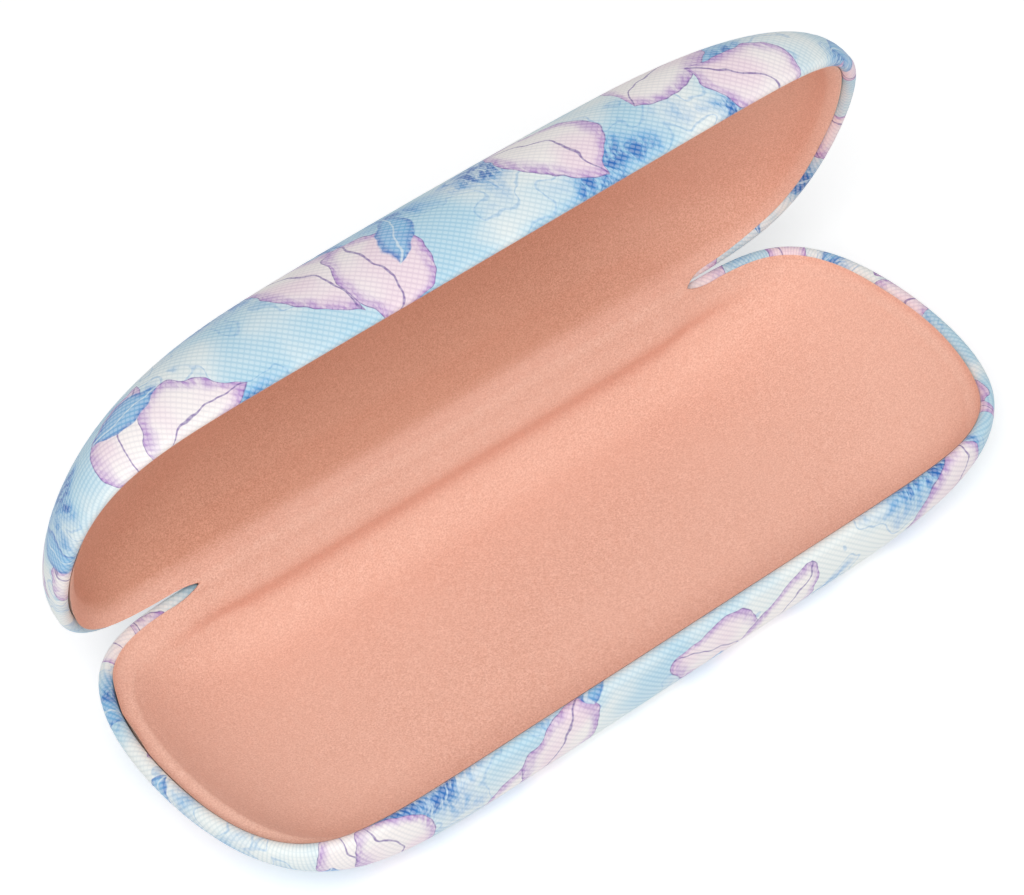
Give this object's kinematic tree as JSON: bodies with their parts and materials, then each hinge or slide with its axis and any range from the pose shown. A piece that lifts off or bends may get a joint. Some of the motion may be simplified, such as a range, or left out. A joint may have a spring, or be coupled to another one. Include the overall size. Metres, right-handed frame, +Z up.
{
  "type": "eyeglasses case",
  "caption": "Hard clamshell eyeglasses case with rounded ends, a printed cover turned over the rim, a soft lining and a sprung hinge along the back.",
  "frame": {"origin": "middle of the flat sole under the base", "axes": "+X along the hinge and the case's length, -Y to the front, +Z up"},
  "size_m": [0.1624, 0.0776, 0.0794],
  "materials": {
    "cover": "embossed coated sheet with a soft printed pattern, satin",
    "lining": "short flock, matt",
    "steel": "plain pressed sheet",
    "hinge_steel": "zinc plated",
    "spring_steel": "blued spring steel",
    "rivet": "plain"
  },
  "bodies": {
    "base": {"base_cover": "cover", "base_shell": "steel", "base_liner": "lining", "base_hinge_leaf": "hinge_steel", "base_rivet_1": "rivet", "base_rivet_2": "rivet", "base_rivet_3": "rivet", "base_rivet_4": "rivet", "hinge_pin": "hinge_steel", "snap_spring_left": "spring_steel", "snap_spring_right": "spring_steel", "hinge_lining": "lining", "hinge_cover": "cover"},
    "lid": {"lid_cover": "cover", "lid_shell": "steel", "lid_liner": "lining", "lid_hinge_leaf": "hinge_steel", "lid_rivet_1": "rivet", "lid_rivet_2": "rivet", "lid_rivet_3": "rivet", "lid_rivet_4": "rivet"}
  },
  "joints": [
    {"name": "lid_hinge", "type": "hinge", "parent": "base", "child": "lid", "pos_m": [0, 0.0311, 0.01826], "axis": [1, 0, 0], "range_deg": [0, 68], "deforming": ["hinge_cover", "hinge_lining", "snap_spring_left", "snap_spring_right"]}
  ]
}
